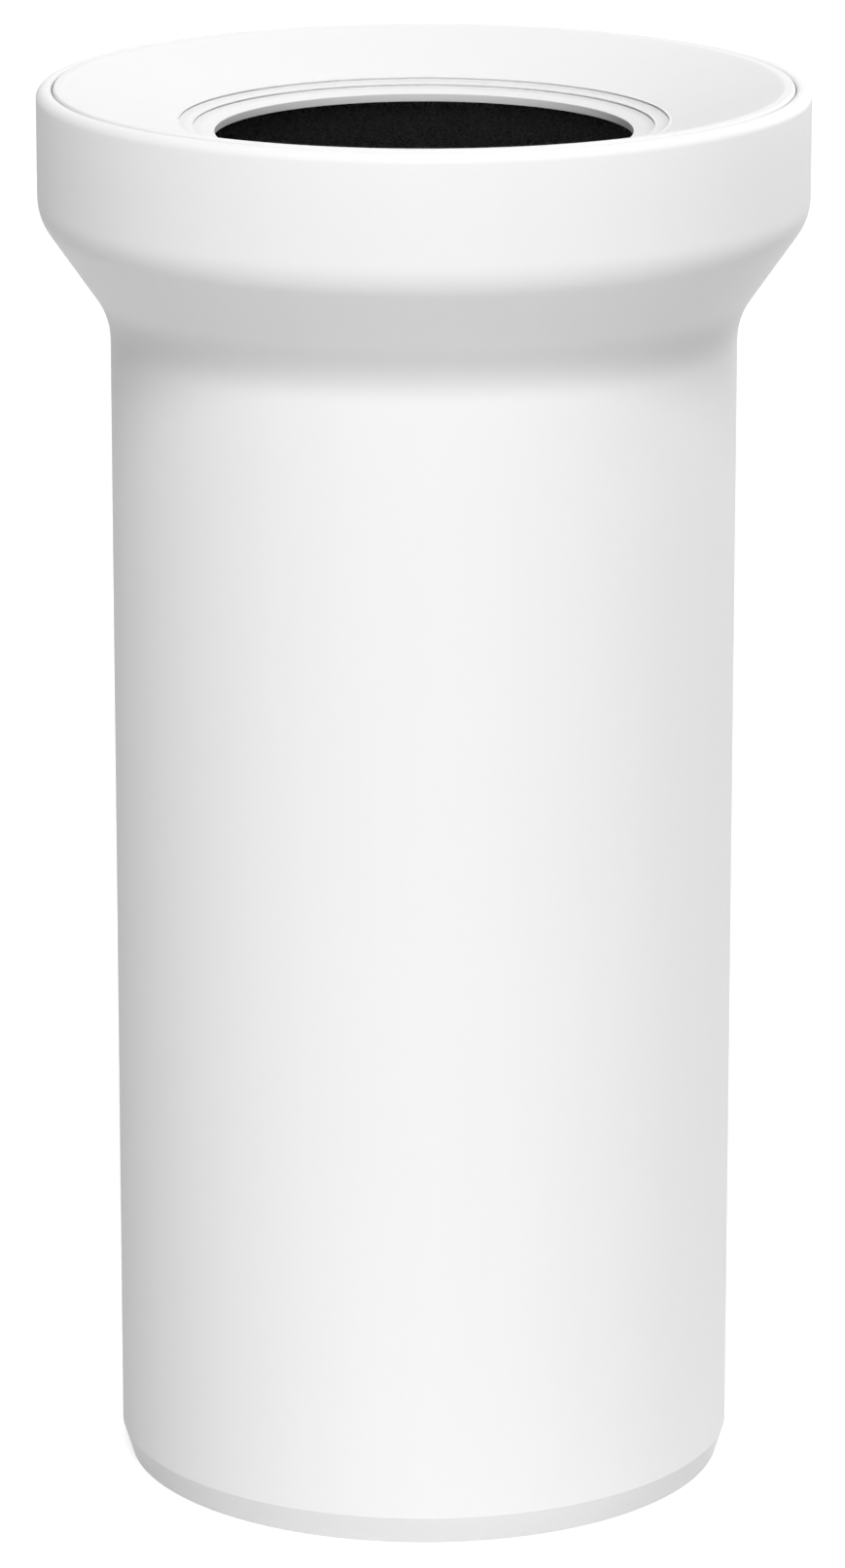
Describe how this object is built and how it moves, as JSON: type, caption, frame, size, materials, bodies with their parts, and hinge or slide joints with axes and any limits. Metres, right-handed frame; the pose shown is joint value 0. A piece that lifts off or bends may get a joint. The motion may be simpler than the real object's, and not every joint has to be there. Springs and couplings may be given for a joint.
{
  "type": "toilet pan connector",
  "caption": "Straight white pan connector: a plain spigot pipe flares through a bell into a collar with a stepped white membrane seal and a black lip seal under it.",
  "frame": {"origin": "centre of the spigot end, on the face that the part stands on", "axes": "+Z along the pipe from the spigot end to the collar's mouth; X and Y are alike, since the part is round"},
  "size_m": [0.135, 0.135, 0.2502],
  "materials": {
    "white_polypropylene": "smooth satin moulding",
    "white_elastomer": "smooth matt elastomer",
    "black_rubber": "fine matt rubber"
  },
  "bodies": {
    "root": {"pipe_body": "white_polypropylene", "membrane_seal": "white_elastomer", "lip_seal": "black_rubber"}
  },
  "joints": []
}
